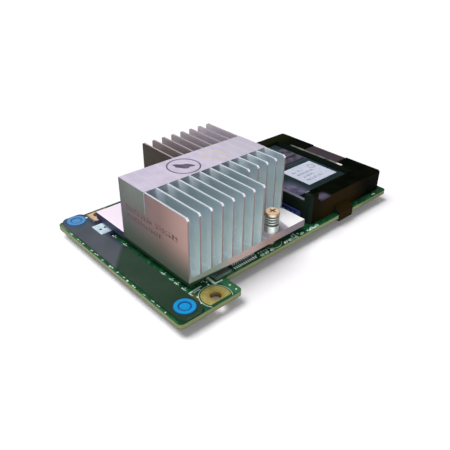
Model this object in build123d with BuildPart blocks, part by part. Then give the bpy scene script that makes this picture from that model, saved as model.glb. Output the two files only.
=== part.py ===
from build123d import *
import os

# Server RAID controller card, in millimetres.
# The origin is the centre of the board's rectangle, on the plane that the card rests on.
# +X runs from the connector end to the battery end, +Y away from the mounting tab, +Z up.

os.makedirs("parts", exist_ok=True)

# Board
board_length = 106.8
board_width = 66.5
board_thickness = 1.6
board_corner_radius = 1.5
tab_length = 22.6
tab_depth = 7.5
tab_inner_radius = 0.9

# Heights of what stands under and over the board
connector_height = 3.2
sink_lift = 2.2

# Plated mounting holes
mounting_hole_radius = 1.7
plating_wall = 0.25
plating_pad_radius = 4.3
plating_thickness = 0.1
plating_edge_margin = 1.0
hole_edge_distance = 3.2
near_hole_inset = 15.0
far_hole_inset = 13.6

# Heat sink
sink_length = 49.0
sink_height = 21.8
sink_base_thickness = 2.5
sink_end_inset = 10.2
sink_edge_inset = 1.4
sink_far_strip = 8.6
fin_count = 13
fin_thickness = 0.6
fin_corner_radius = 0.8
fins_cut_each_end = 5
near_fin_cut = 10.3
far_fin_cut = 16.7

# Heat sink label, one film folded over the first fin, that ends just before the cut fins do
sink_label_thickness = 0.12
sink_label_width = 12.8
sink_label_margin = 0.3
sink_label_fold = 7.2

# Spring screws, their springs, the seats under them and their threaded inserts
screw_end_inset = 13.1
screw_edge_inset = 2.8
screw_rise = 7.1
screw_head_radius = 2.35
screw_head_height = 1.2
screw_head_bevel = 0.35
screw_recess_width = 0.55
screw_recess_length = 2.6
screw_recess_depth = 0.7
screw_shank_radius = 1.25
screw_hole_clearance = 0.35
spring_wire = 0.6
spring_wire_sides = 4
spring_radius = 2.05
spring_pitch = 0.9
spring_gap = 0.02
spring_seat_height = 2.4
insert_barrel_radius = 2.0
insert_flange_radius = 2.4
insert_flange_height = 1.5
insert_flange_sides = 6
insert_clearance = 0.05

# Cover plate over the connector's solder side, with its two press points
cover_thickness = 1.0
cover_width = 8.1
cover_edge_margin = 1.0
cover_end_margin = 0.25
cover_corner_radius = 2.2
wing_reach = 3.4
wing_length = 10.0
wing_end_inset = 8.0
wing_corner_radius = 0.6
press_point_radius = 3.2
press_point_thickness = 0.7
press_point_pocket = 0.5
press_point_clearance = 0.05
press_dimple_radius = 1.7
press_dimple_depth = 0.12
near_press_inset = 4.4
far_press_inset = 3.7
cover_label_length = 5.2
cover_label_width = 6.2
cover_label_thickness = 0.1
cover_label_end_inset = 10.6
cover_label_reach = 3.0

# Mezzanine connector under the board
connector_width = 5.5
connector_end_inset = 3.5
connector_edge_inset = 4.3
connector_far_inset = 4.6
connector_bevel = 0.4
trough_width = 3.5
trough_depth = 2.4
trough_end_wall = 1.6
blade_width = 1.1
blade_height = 1.9
blade_end_gap = 0.7
contact_pitch = 1.6
contact_width = 0.6
contact_thickness = 0.16
contact_end_margin = 1.2

# Battery tray
sink_tray_gap = 4.6
tray_end_margin = 2.0
tray_edge_inset = 2.5
tray_far_strip = 6.5
tray_height = 7.8
tray_wall = 2.0
tray_floor = 1.2
tray_near_block = 7.2
tray_far_wall = 5.1
ledge_width = 8.6
tray_corner_bevel = 0.8
tray_edge_bevel = 0.3
ledge_recess_depth = 0.5
ledge_recess_width = 16.9
ledge_recess_start = 15.7
ledge_recess_inset = 1.6
ledge_lip_width = 0.8
ledge_lip_height = 0.4
ledge_lip_start = 12.3
ledge_lip_length = 26.0
post_size = 4.0
post_rise = 3.5
post_bevel = 0.7
peg_radius = 1.5
peg_clearance = 0.1
peg_barb_radius = 2.0
peg_tip_radius = 1.1
peg_slot_width = 0.7
peg_end_inset = 4.6
peg_near_inset = 5.0
peg_far_inset = 4.0
clip_width = 7.6
clip_inset = 13.2
clip_root_height = 3.0
clip_shoulder_height = 0.7
clip_leg = 1.4
clip_proud = 0.3
clip_hook = 1.2
clip_hook_height = 0.8
clip_clearance = 0.1
snap_clearance = 0.1

# Battery pack, its label and its board header
pack_height = 5.5
pack_clearance = 0.3
pack_rounding = 2.4
pack_label_width = 13.5
pack_label_thickness = 0.1
pack_label_end_inset = 10.6
pack_label_ledge_inset = 3.8
pack_label_edge_inset = 4.1
header_length = 3.2
header_width = 8.6
header_height = 4.0
header_wall = 0.6
header_floor = 1.0
header_sink_gap = 0.7
header_edge_inset = 5.0
header_pin_size = 0.5
header_pin_pitch = 2.0
header_pin_count = 3
header_pin_height = 2.4

# Controller chip under the heat sink
controller_margin = 9.0
controller_thickness = 1.1
controller_bevel = 0.2
die_size = 14.0
die_thickness = 0.8
thermal_pad_size = 15.0

# Other chips and parts
chip_bevel = 0.12
memory_count = 4
memory_length = 8.0
memory_width = 11.5
memory_height = 1.1
memory_gap = 3.0
flash_length = 6.0
flash_width = 9.0
flash_height = 1.0
flash_inset = 9.5
flash_edge_inset = 0.7
lead_width = 0.36
lead_thickness = 0.18
lead_foot = 0.7
lead_reach = 1.5
lead_standoff = 0.1
driver_length = 9.7
driver_width = 5.4
driver_height = 1.3
driver_lead_pitch = 0.8
driver_lead_count = 12
driver_inset = 17.1
driver_edge_inset = 1.5
regulator_length = 5.0
regulator_width = 3.4
regulator_height = 1.5
regulator_lead_pitch = 1.27
regulator_lead_count = 4
regulator_count = 2
regulator_offset = 12.0
regulator_spacing = 8.0
inductor_size = 6.0
inductor_height = 2.8
inductor_corner_bevel = 0.8
inductor_count = 2
inductor_offset = -6.0
inductor_spacing = 8.5
bulk_length = 3.5
bulk_width = 2.8
bulk_height = 1.9
bulk_gap = 1.6
bulk_count = 5
crystal_length = 5.0
crystal_width = 3.2
crystal_height = 1.1
crystal_gap = 1.05
small_cap_length = 1.0
small_cap_width = 0.5
small_cap_height = 0.5
small_cap_column = (1.3, 7.7, 10.7, 15.6, 22.9, 27.8, 31.6, 34.1, 37.4, 40.4)
small_cap_edge_row = (28.6, 30.6, 33.0, 39.4, 41.6, 47.4, 52.2, 55.0)
underside_cap_columns = 12
underside_cap_rows = 2
underside_cap_pitch_x = 2.8
underside_cap_pitch_y = 2.2

# Edges and levels worked out from the sizes above
x_connector_end = -board_length / 2
x_battery_end = board_length / 2
y_tab_edge = -board_width / 2
y_near_edge = y_tab_edge + tab_depth
y_far_edge = board_width / 2
z_board = connector_height
z_top = z_board + board_thickness
z_sink = z_top + sink_lift
z_base_top = z_sink + sink_base_thickness
z_sink_top = z_sink + sink_height

near_hole = (x_connector_end + near_hole_inset, y_tab_edge + hole_edge_distance)
far_hole = (x_connector_end + far_hole_inset, y_far_edge - hole_edge_distance)
plated_hole_radius = mounting_hole_radius + plating_wall

sink_x = x_connector_end + sink_end_inset
sink_y = y_near_edge + sink_edge_inset
sink_end_x = sink_x + sink_length
sink_far_y = y_far_edge - sink_far_strip
sink_width = sink_far_y - sink_y
sink_centre = (sink_x + sink_length / 2, sink_y + sink_width / 2)
fin_pitch = (sink_length - fin_thickness) / (fin_count - 1)
fin_groups = (
    (0, fins_cut_each_end, 0, far_fin_cut),
    (fins_cut_each_end, fin_count - fins_cut_each_end, 0, 0),
    (fin_count - fins_cut_each_end, fin_count, near_fin_cut, 0),
)

screw_places = (
    (sink_end_x - screw_end_inset, sink_y + screw_edge_inset),
    (sink_x + screw_end_inset, sink_far_y - screw_edge_inset),
)
z_head = z_base_top + screw_rise - screw_head_height
z_spring_seat = z_base_top + spring_seat_height

cover_x = x_connector_end + cover_edge_margin
cover_inner_x = cover_x + cover_width
cover_near_y = y_tab_edge + cover_end_margin
cover_far_y = y_far_edge - cover_end_margin
cover_centre_x = cover_x + cover_width / 2
wing_near_y = y_far_edge - wing_end_inset - wing_length
press_places = {
    "press_point_near": (cover_centre_x, y_tab_edge + near_press_inset),
    "press_point_far": (cover_centre_x, y_far_edge - far_press_inset),
}

connector_length = board_width - connector_edge_inset - connector_far_inset
connector_centre = (
    x_connector_end + connector_end_inset + connector_width / 2,
    y_tab_edge + connector_edge_inset + connector_length / 2,
)

tray_x = sink_end_x + sink_tray_gap
tray_end_x = x_battery_end - tray_end_margin
tray_length = tray_end_x - tray_x
tray_y = y_near_edge + tray_edge_inset
tray_far_y = y_far_edge - tray_far_strip
tray_width = tray_far_y - tray_y
z_tray_top = z_top + tray_height
pocket_x = tray_x + tray_wall
pocket_y = tray_y + tray_near_block
ledge_x = tray_end_x - ledge_width
pocket_length = ledge_x - pocket_x
pocket_width = tray_width - tray_near_block - tray_far_wall
pack_length = pocket_length - 2 * pack_clearance
pack_width = pocket_width - 2 * pack_clearance
pack_centre = (pocket_x + pocket_length / 2, pocket_y + pocket_width / 2)
z_pocket = z_top + tray_floor
z_pack_top = z_pocket + pack_height
peg_places = (
    (tray_end_x - peg_end_inset, tray_y + peg_near_inset),
    (tray_end_x - peg_end_inset, tray_far_y - peg_far_inset),
)
peg_hole_radius = peg_radius + peg_clearance
clip_x = tray_x + clip_inset
clip_inner_y = y_near_edge + clip_leg - clip_proud
clip_notch_depth = clip_leg - clip_proud + clip_clearance
clip_notch_width = clip_width + 2 * clip_clearance


# Board: an L with a mounting tab, its holes, and an edge notch for the tray's clip
with BuildPart() as circuit_board:
    with BuildSketch(Plane.XY.offset(z_board)) as board_outline:
        with BuildLine():
            Polyline(
                (x_connector_end, y_tab_edge),
                (x_connector_end + tab_length, y_tab_edge),
                (x_connector_end + tab_length, y_near_edge),
                (x_battery_end, y_near_edge),
                (x_battery_end, y_far_edge),
                (x_connector_end, y_far_edge),
                close=True,
            )
        make_face()
        inner_corner = board_outline.vertices().sort_by_distance(
            (x_connector_end + tab_length, y_near_edge)
        )[0]
        outer_corners = [v for v in board_outline.vertices() if v != inner_corner]
        fillet(outer_corners, board_corner_radius)
        inner_corner = board_outline.vertices().sort_by_distance(
            (x_connector_end + tab_length, y_near_edge)
        )[0]
        fillet(inner_corner, tab_inner_radius)
        with Locations(near_hole, far_hole):
            Circle(plated_hole_radius, mode=Mode.SUBTRACT)
        with Locations(*screw_places):
            Circle(insert_barrel_radius + insert_clearance, mode=Mode.SUBTRACT)
        with Locations(*peg_places):
            Circle(peg_hole_radius, mode=Mode.SUBTRACT)
        with Locations((clip_x + clip_width / 2, y_near_edge)):
            Rectangle(clip_notch_width, 2 * clip_notch_depth, mode=Mode.SUBTRACT)
    extrude(amount=board_thickness)

circuit_board.part.label = "circuit_board"
export_step(circuit_board.part, "parts/circuit_board.step")


# Plated mounting holes: a barrel through the board with a pad on each side, cut back at the edge
plating_places = {"plated_hole_near": (near_hole, -1), "plated_hole_far": (far_hole, 1)}
for name, (centre, edge_side) in plating_places.items():
    pad_reach = hole_edge_distance - plating_edge_margin
    with BuildPart() as plated_hole:
        with BuildSketch(Plane.XY.offset(z_top), Plane.XY.offset(z_board - plating_thickness)):
            with Locations(centre):
                Circle(plating_pad_radius)
            with Locations((centre[0], centre[1] + edge_side * (pad_reach - plating_pad_radius))):
                Rectangle(2 * plating_pad_radius, 2 * plating_pad_radius, mode=Mode.INTERSECT)
            with Locations(centre):
                Circle(mounting_hole_radius, mode=Mode.SUBTRACT)
        extrude(amount=plating_thickness)
        with BuildSketch(Plane.XY.offset(z_board)):
            with Locations(centre):
                Circle(plated_hole_radius)
                Circle(mounting_hole_radius, mode=Mode.SUBTRACT)
        extrude(amount=board_thickness)
    plated_hole.part.label = name
    export_step(plated_hole.part, f"parts/{name}.step")


# Cover plate: a strip over the connector's solder side with a wing that reaches under the heat sink
with BuildPart() as connector_cover:
    with BuildSketch(Plane.XY.offset(z_top)):
        with Locations((cover_centre_x, (cover_near_y + cover_far_y) / 2)):
            RectangleRounded(cover_width, cover_far_y - cover_near_y, cover_corner_radius)
        with Locations((cover_inner_x, wing_near_y + wing_length / 2)):
            RectangleRounded(2 * wing_reach, wing_length, wing_corner_radius)
    extrude(amount=cover_thickness)
    with BuildSketch(Plane.XY.offset(z_top + cover_thickness)):
        with Locations(*press_places.values()):
            Circle(press_point_radius + press_point_clearance)
    extrude(amount=-press_point_pocket, mode=Mode.SUBTRACT)

connector_cover.part.label = "connector_cover"
export_step(connector_cover.part, "parts/connector_cover.step")


# Press points: two discs in the cover's pockets, each with a shallow dimple
z_press = z_top + cover_thickness - press_point_pocket
for name, centre in press_places.items():
    with BuildPart() as press_point:
        with BuildSketch(Plane.XY.offset(z_press)):
            with Locations(centre):
                Circle(press_point_radius)
        extrude(amount=press_point_thickness)
        with BuildSketch(Plane.XY.offset(z_press + press_point_thickness)):
            with Locations(centre):
                Circle(press_dimple_radius)
        extrude(amount=-press_dimple_depth, mode=Mode.SUBTRACT)
    press_point.part.label = name
    export_step(press_point.part, f"parts/{name}.step")


# Cover label: a small film on the cover's wing
with BuildPart() as cover_label:
    cover_label_x = cover_inner_x + cover_label_reach - cover_label_length / 2
    cover_label_y = y_far_edge - cover_label_end_inset - cover_label_width / 2
    with BuildSketch(Plane.XY.offset(z_top + cover_thickness)):
        with Locations((cover_label_x, cover_label_y)):
            Rectangle(cover_label_length, cover_label_width)
    extrude(amount=cover_label_thickness)

cover_label.part.label = "cover_label"
export_step(cover_label.part, "parts/cover_label.step")


# Mezzanine connector: a housing with a trough and a central blade, open downwards
blade_length = connector_length - 2 * (trough_end_wall + blade_end_gap)
with BuildPart() as mezzanine_connector:
    with BuildSketch(Plane.XY):
        with Locations(connector_centre):
            Rectangle(connector_width, connector_length)
    extrude(amount=connector_height)
    chamfer(mezzanine_connector.faces().sort_by(Axis.Z)[0].edges(), connector_bevel)
    with BuildSketch(Plane.XY):
        with Locations(connector_centre):
            Rectangle(trough_width, connector_length - 2 * trough_end_wall)
    extrude(amount=trough_depth, mode=Mode.SUBTRACT)
    with BuildSketch(Plane.XY.offset(trough_depth)):
        with Locations(connector_centre):
            Rectangle(blade_width, blade_length)
    extrude(amount=-blade_height)

mezzanine_connector.part.label = "mezzanine_connector"
export_step(mezzanine_connector.part, "parts/mezzanine_connector.step")


# Connector contacts: two rows of strips on the blade's faces
contact_row_length = blade_length - 2 * contact_end_margin
contact_count = int(contact_row_length / contact_pitch) + 1
with BuildPart() as connector_contacts:
    with BuildSketch(Plane.XY.offset(trough_depth - blade_height)):
        with Locations(connector_centre):
            with GridLocations(blade_width + contact_thickness, contact_pitch, 2, contact_count):
                Rectangle(contact_thickness, contact_width)
    extrude(amount=blade_height)

connector_contacts.part.label = "connector_contacts"
export_step(connector_contacts.part, "parts/connector_contacts.step")


# Heat sink: an extruded base with a row of fins, cut back at two corners for the spring screws
with BuildPart() as heat_sink:
    with BuildSketch(Plane.XY.offset(z_sink)):
        with Locations(sink_centre):
            Rectangle(sink_length, sink_width)
        with Locations(*screw_places):
            Circle(screw_shank_radius + screw_hole_clearance, mode=Mode.SUBTRACT)
    extrude(amount=sink_base_thickness)
    for first, last, near_cut, far_cut in fin_groups:
        fin_planes = [Plane.YZ.offset(sink_x + index * fin_pitch) for index in range(first, last)]
        fin_start = sink_y + near_cut
        fin_end = sink_far_y - far_cut
        with BuildSketch(*fin_planes) as fin_outline:
            with Locations(((fin_start + fin_end) / 2, (z_base_top + z_sink_top) / 2)):
                Rectangle(fin_end - fin_start, z_sink_top - z_base_top)
            fillet(fin_outline.vertices().group_by(Axis.Y)[-1], fin_corner_radius)
        extrude(amount=fin_thickness)

heat_sink.part.label = "heat_sink"
export_step(heat_sink.part, "parts/heat_sink.step")


# Heat sink label: a film along the fin tops, folded down over the first fin
with BuildPart() as heat_sink_label:
    label_y = sink_far_y - far_fin_cut - sink_label_margin - sink_label_width
    with BuildSketch(Plane.XZ.offset(-label_y - sink_label_width)):
        with BuildLine():
            Polyline(
                (sink_x, z_sink_top - sink_label_fold),
                (sink_x, z_sink_top),
                (sink_end_x, z_sink_top),
                (sink_end_x, z_sink_top + sink_label_thickness),
                (sink_x - sink_label_thickness, z_sink_top + sink_label_thickness),
                (sink_x - sink_label_thickness, z_sink_top - sink_label_fold),
                close=True,
            )
        make_face()
    extrude(amount=sink_label_width)

heat_sink_label.part.label = "heat_sink_label"
export_step(heat_sink_label.part, "parts/heat_sink_label.step")


# Spring screws: a round head with a cross recess on a shank that ends in its threaded insert
z_tip = z_board - insert_flange_height
with BuildPart() as spring_screws:
    for place in screw_places:
        with BuildSketch(Plane.XY.offset(z_head)):
            with Locations(place):
                Circle(screw_head_radius)
        extrude(amount=screw_head_height)
        with BuildSketch(Plane.XY.offset(z_tip)):
            with Locations(place):
                Circle(screw_shank_radius)
        extrude(amount=z_head - z_tip)
    chamfer(spring_screws.edges().group_by(Axis.Z)[-1], screw_head_bevel)
    with BuildSketch(Plane.XY.offset(z_head + screw_head_height)):
        with Locations(*screw_places):
            Rectangle(screw_recess_length, screw_recess_width)
            Rectangle(screw_recess_width, screw_recess_length)
    extrude(amount=-screw_recess_depth, mode=Mode.SUBTRACT)

spring_screws.part.label = "spring_screws"
export_step(spring_screws.part, "parts/spring_screws.step")


# Spring seats: plain sleeves on the heat sink's base, as wide as the springs that stand on them
with BuildPart() as spring_seats:
    with BuildSketch(Plane.XY.offset(z_base_top)):
        with Locations(*screw_places):
            Circle(spring_radius + spring_wire / 2)
            Circle(screw_shank_radius + screw_hole_clearance, mode=Mode.SUBTRACT)
    extrude(amount=spring_seat_height)

spring_seats.part.label = "spring_seats"
export_step(spring_seats.part, "parts/spring_seats.step")


# Compression springs between the seats and the screw heads
coil_start = z_spring_seat + spring_wire / 2 + spring_gap
coil_height = z_head - z_spring_seat - spring_wire - 2 * spring_gap
with BuildPart() as compression_springs:
    for x, y in screw_places:
        with BuildLine():
            coil = Helix(spring_pitch, coil_height, spring_radius, center=(x, y, coil_start))
        with BuildSketch(Plane(origin=coil @ 0, z_dir=coil % 0)):
            RegularPolygon(spring_wire / 2, spring_wire_sides)
        sweep(is_frenet=True)

compression_springs.part.label = "compression_springs"
export_step(compression_springs.part, "parts/compression_springs.step")


# Threaded inserts: pressed into the board from below, one for each spring screw
with BuildPart() as threaded_inserts:
    with BuildSketch(Plane.XY.offset(z_board)):
        with Locations(*screw_places):
            RegularPolygon(insert_flange_radius, insert_flange_sides)
    extrude(amount=-insert_flange_height)
    with BuildSketch(Plane.XY.offset(z_board)):
        with Locations(*screw_places):
            Circle(insert_barrel_radius)
    extrude(amount=board_thickness)
    with BuildSketch(Plane.XY.offset(z_tip)):
        with Locations(*screw_places):
            Circle(screw_shank_radius + insert_clearance)
    extrude(amount=z_top - z_tip, mode=Mode.SUBTRACT)

threaded_inserts.part.label = "threaded_inserts"
export_step(threaded_inserts.part, "parts/threaded_inserts.step")


# Controller: its package, the die on it, and the thermal pad that fills up to the heat sink
controller_size = sink_width - 2 * controller_margin
with BuildPart() as controller_package:
    with BuildSketch(Plane.XY.offset(z_top)):
        with Locations(sink_centre):
            Rectangle(controller_size, controller_size)
    extrude(amount=controller_thickness)
    chamfer(controller_package.edges().filter_by(Axis.Z), controller_bevel)

controller_package.part.label = "controller_package"
export_step(controller_package.part, "parts/controller_package.step")

with BuildPart() as controller_die:
    with BuildSketch(Plane.XY.offset(z_top + controller_thickness)):
        with Locations(sink_centre):
            Rectangle(die_size, die_size)
    extrude(amount=die_thickness)

controller_die.part.label = "controller_die"
export_step(controller_die.part, "parts/controller_die.step")

with BuildPart() as thermal_pad:
    with BuildSketch(Plane.XY.offset(z_top + controller_thickness + die_thickness)):
        with Locations(sink_centre):
            Rectangle(thermal_pad_size, thermal_pad_size)
    extrude(amount=sink_lift - controller_thickness - die_thickness)

thermal_pad.part.label = "thermal_pad"
export_step(thermal_pad.part, "parts/thermal_pad.step")


def write_chip(name, centre, length, width, height, level, side):
    """Write a moulded chip that stands on a board face: side 1 is up, side -1 is down."""
    with BuildPart() as chip:
        with BuildSketch(Plane.XY.offset(level)):
            with Locations(centre):
                Rectangle(length, width)
        extrude(amount=side * height)
        outer_face = chip.faces().sort_by(Axis.Z)[-1 if side > 0 else 0]
        chamfer(outer_face.edges(), chip_bevel)
    chip.part.label = name
    export_step(chip.part, f"parts/{name}.step")


# Flash chip by the tab, half under the heat sink
flash_centre = (sink_x + flash_inset + flash_length / 2, sink_y - flash_edge_inset + flash_width / 2)
write_chip("flash_chip", flash_centre, flash_length, flash_width, flash_height, z_top, 1)

# Memory chips: a row of four on the board's underside
memory_row_y = sink_centre[1] - memory_width / 2
for index in range(memory_count):
    memory_step = index - (memory_count - 1) / 2
    memory_x = sink_centre[0] + memory_step * (memory_length + memory_gap)
    write_chip(
        f"memory_chip_{index + 1}",
        (memory_x, memory_row_y),
        memory_length,
        memory_width,
        memory_height,
        z_board,
        -1,
    )


def write_leaded_chip(name, centre, length, width, height, lead_count, lead_pitch):
    """Write a chip with rows of bent leads along its two long sides."""
    z_shoulder = z_top + height / 2
    with BuildPart() as lead_pair:
        for side in (-1, 1):
            root_y = centre[1] + side * (width / 2 - lead_thickness)
            foot_y = centre[1] + side * (width / 2 + lead_reach)
            knee_y = foot_y - side * lead_foot
            with BuildSketch(Plane.YZ.offset(centre[0] - lead_width / 2)):
                with BuildLine():
                    Polyline(
                        (root_y, z_shoulder),
                        (knee_y - side * lead_thickness, z_shoulder),
                        (knee_y - side * lead_thickness, z_top),
                        (foot_y, z_top),
                        (foot_y, z_top + lead_thickness),
                        (knee_y, z_top + lead_thickness),
                        (knee_y, z_shoulder + lead_thickness),
                        (root_y, z_shoulder + lead_thickness),
                        close=True,
                    )
                make_face()
        extrude(amount=lead_width)
    with BuildPart() as chip:
        with BuildSketch(Plane.XY.offset(z_top + lead_standoff)):
            with Locations(centre):
                Rectangle(length, width)
        extrude(amount=height - lead_standoff)
        chamfer(chip.faces().sort_by(Axis.Z)[-1].edges(), chip_bevel)
        with GridLocations(lead_pitch, 1, lead_count, 1):
            add(lead_pair.part)
    chip.part.label = name
    export_step(chip.part, f"parts/{name}.step")


# Bus driver with leads, under the heat sink's near edge
driver_centre = (
    sink_x + driver_inset + driver_length / 2,
    sink_y + driver_edge_inset + driver_width / 2,
)
write_leaded_chip(
    "bus_driver_chip",
    driver_centre,
    driver_length,
    driver_width,
    driver_height,
    driver_lead_count,
    driver_lead_pitch,
)

# Power parts on the strip of board behind the heat sink and the tray
power_row_y = (sink_far_y + y_far_edge) / 2
for index in range(regulator_count):
    regulator_x = sink_centre[0] + regulator_offset + index * regulator_spacing
    write_leaded_chip(
        f"regulator_{index + 1}",
        (regulator_x, power_row_y),
        regulator_length,
        regulator_width,
        regulator_height,
        regulator_lead_count,
        regulator_lead_pitch,
    )

for index in range(inductor_count):
    name = f"power_inductor_{index + 1}"
    inductor_x = sink_centre[0] + inductor_offset + index * inductor_spacing
    with BuildPart() as power_inductor:
        with BuildSketch(Plane.XY.offset(z_top)) as inductor_outline:
            with Locations((inductor_x, power_row_y)):
                Rectangle(inductor_size, inductor_size)
            chamfer(inductor_outline.vertices(), inductor_corner_bevel)
        extrude(amount=inductor_height)
        chamfer(power_inductor.faces().sort_by(Axis.Z)[-1].edges(), chip_bevel)
    power_inductor.part.label = name
    export_step(power_inductor.part, f"parts/{name}.step")

tray_strip_y = (tray_far_y + y_far_edge) / 2
crystal_x = tray_end_x - crystal_length
bulk_row_length = bulk_count * bulk_length + (bulk_count - 1) * bulk_gap
bulk_row_end_x = crystal_x - crystal_length / 2 - crystal_gap
with BuildPart() as bulk_capacitors:
    with BuildSketch(Plane.XY.offset(z_top)):
        with Locations((bulk_row_end_x - bulk_row_length / 2, tray_strip_y)):
            with GridLocations(bulk_length + bulk_gap, 1, bulk_count, 1):
                Rectangle(bulk_length, bulk_width)
    extrude(amount=bulk_height)
    chamfer(bulk_capacitors.faces().group_by(Axis.Z)[-1].edges(), chip_bevel)

bulk_capacitors.part.label = "bulk_capacitors"
export_step(bulk_capacitors.part, "parts/bulk_capacitors.step")

write_chip(
    "clock_crystal",
    (crystal_x, tray_strip_y),
    crystal_length,
    crystal_width,
    crystal_height,
    z_top,
    1,
)


# Small capacitors: a column from the cover's wing towards the tab, and a row along the near edge
column_x = cover_inner_x + (sink_x - cover_inner_x) / 2
edge_row_y = (y_near_edge + sink_y) / 2
with BuildPart() as small_capacitors:
    with BuildSketch(Plane.XY.offset(z_top)):
        with Locations(*[(column_x, wing_near_y - offset) for offset in small_cap_column]):
            Rectangle(small_cap_width, small_cap_length)
        with Locations(*[(sink_x + offset, edge_row_y) for offset in small_cap_edge_row]):
            Rectangle(small_cap_length, small_cap_width)
    extrude(amount=small_cap_height)

small_capacitors.part.label = "small_capacitors"
export_step(small_capacitors.part, "parts/small_capacitors.step")

underside_row_y = sink_centre[1] + memory_width / 2 + memory_gap
with BuildPart() as underside_capacitors:
    with BuildSketch(Plane.XY.offset(z_board)):
        with Locations((sink_centre[0], underside_row_y)):
            with GridLocations(
                underside_cap_pitch_x,
                underside_cap_pitch_y,
                underside_cap_columns,
                underside_cap_rows,
            ):
                Rectangle(small_cap_length, small_cap_width)
    extrude(amount=-small_cap_height)

underside_capacitors.part.label = "underside_capacitors"
export_step(underside_capacitors.part, "parts/underside_capacitors.step")


# Battery tray: a moulded frame with a pocket, corner posts, snap pegs and a clip round the board's edge
with BuildPart() as battery_tray:
    with BuildSketch(Plane.XY.offset(z_top)) as tray_outline:
        with Locations((tray_x + tray_length / 2, tray_y + tray_width / 2)):
            Rectangle(tray_length, tray_width)
        chamfer(tray_outline.vertices(), tray_corner_bevel)
    extrude(amount=tray_height)
    chamfer(battery_tray.faces().sort_by(Axis.Z)[-1].edges(), tray_edge_bevel)
    with BuildSketch(Plane.XY.offset(z_pocket)):
        with Locations(pack_centre):
            Rectangle(pocket_length, pocket_width)
    extrude(amount=tray_height, mode=Mode.SUBTRACT)
    recess_x = ledge_x + ledge_recess_inset
    recess_y = tray_y + ledge_recess_start + ledge_recess_width / 2
    with BuildSketch(Plane.XY.offset(z_tray_top)):
        with Locations(((recess_x + tray_end_x) / 2, recess_y)):
            Rectangle(tray_end_x - recess_x, ledge_recess_width)
    extrude(amount=-ledge_recess_depth, mode=Mode.SUBTRACT)
    with BuildSketch(Plane.XY.offset(z_tray_top)):
        with Locations((ledge_x + ledge_lip_width / 2, tray_y + ledge_lip_start + ledge_lip_length / 2)):
            Rectangle(ledge_lip_width, ledge_lip_length)
    extrude(amount=ledge_lip_height)
    with BuildSketch(Plane.XY.offset(z_tray_top - tray_edge_bevel)) as post_outlines:
        with Locations(
            (tray_x + post_size / 2, tray_y + post_size / 2),
            (tray_x + post_size / 2, tray_far_y - post_size / 2),
        ):
            Rectangle(post_size, post_size)
        chamfer(post_outlines.vertices(), tray_corner_bevel)
    extrude(amount=post_rise + tray_edge_bevel)
    chamfer(battery_tray.faces().group_by(Axis.Z)[-1].edges(), post_bevel)
    z_barb = z_board - snap_clearance
    for x, y in peg_places:
        with BuildSketch(Plane(origin=(x, y, 0), x_dir=(1, 0, 0), z_dir=(0, -1, 0))):
            with BuildLine():
                Polyline(
                    (0, 0),
                    (peg_tip_radius, 0),
                    (peg_barb_radius, z_barb),
                    (peg_radius, z_barb),
                    (peg_radius, z_top),
                    (0, z_top),
                    close=True,
                )
            make_face()
        revolve(axis=Axis((x, y, 0), (0, 0, 1)))
        with BuildSketch(Plane.XY):
            with Locations((x, y)):
                Rectangle(peg_slot_width, 2 * peg_barb_radius)
        extrude(amount=z_board, mode=Mode.SUBTRACT)
    z_hook = z_board - snap_clearance
    with BuildSketch(Plane.YZ.offset(clip_x)):
        with BuildLine():
            Polyline(
                (tray_y, z_top),
                (tray_y, z_top + clip_root_height),
                (y_near_edge - clip_proud, z_top + clip_shoulder_height),
                (y_near_edge - clip_proud, z_hook - clip_hook_height),
                (clip_inner_y, z_hook - clip_hook_height),
                (clip_inner_y + clip_hook, z_hook),
                (clip_inner_y, z_hook),
                (clip_inner_y, z_top),
                close=True,
            )
        make_face()
    extrude(amount=clip_width)

battery_tray.part.label = "battery_tray"
export_step(battery_tray.part, "parts/battery_tray.step")


# Battery pack: a sealed slab with rounded long sides, seated in the tray's pocket
with BuildPart() as battery_pack:
    with BuildSketch(Plane.XY.offset(z_pocket)):
        with Locations(pack_centre):
            Rectangle(pack_length, pack_width)
    extrude(amount=pack_height)
    fillet(battery_pack.edges().filter_by(Axis.Y), pack_rounding)

battery_pack.part.label = "battery_pack"
export_step(battery_pack.part, "parts/battery_pack.step")

with BuildPart() as battery_label:
    pack_label_length = pocket_length - pack_label_end_inset - pack_label_ledge_inset
    label_x = pocket_x + pack_label_end_inset + pack_label_length / 2
    label_y = pocket_y + pack_label_edge_inset + pack_label_width / 2
    with BuildSketch(Plane.XY.offset(z_pack_top)):
        with Locations((label_x, label_y)):
            Rectangle(pack_label_length, pack_label_width)
    extrude(amount=pack_label_thickness)

battery_label.part.label = "battery_label"
export_step(battery_label.part, "parts/battery_label.step")


# Battery header: an open-topped socket between the heat sink and the tray, with its pins
header_centre = (
    sink_end_x + header_sink_gap + header_length / 2,
    sink_y + header_edge_inset + header_width / 2,
)
with BuildPart() as battery_header:
    with BuildSketch(Plane.XY.offset(z_top)):
        with Locations(header_centre):
            Rectangle(header_length, header_width)
    extrude(amount=header_height)
    with BuildSketch(Plane.XY.offset(z_top + header_floor)):
        with Locations(header_centre):
            Rectangle(header_length - 2 * header_wall, header_width - 2 * header_wall)
    extrude(amount=header_height, mode=Mode.SUBTRACT)

battery_header.part.label = "battery_header"
export_step(battery_header.part, "parts/battery_header.step")

with BuildPart() as battery_header_pins:
    with BuildSketch(Plane.XY.offset(z_top + header_floor)):
        with Locations(header_centre):
            with GridLocations(1, header_pin_pitch, 1, header_pin_count):
                Rectangle(header_pin_size, header_pin_size)
    extrude(amount=header_pin_height)

battery_header_pins.part.label = "battery_header_pins"
export_step(battery_header_pins.part, "parts/battery_header_pins.step")
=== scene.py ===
"""Server storage controller card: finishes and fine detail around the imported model."""
import math
import random

import bmesh
import bpy
from mathutils import Matrix, Vector


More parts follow.
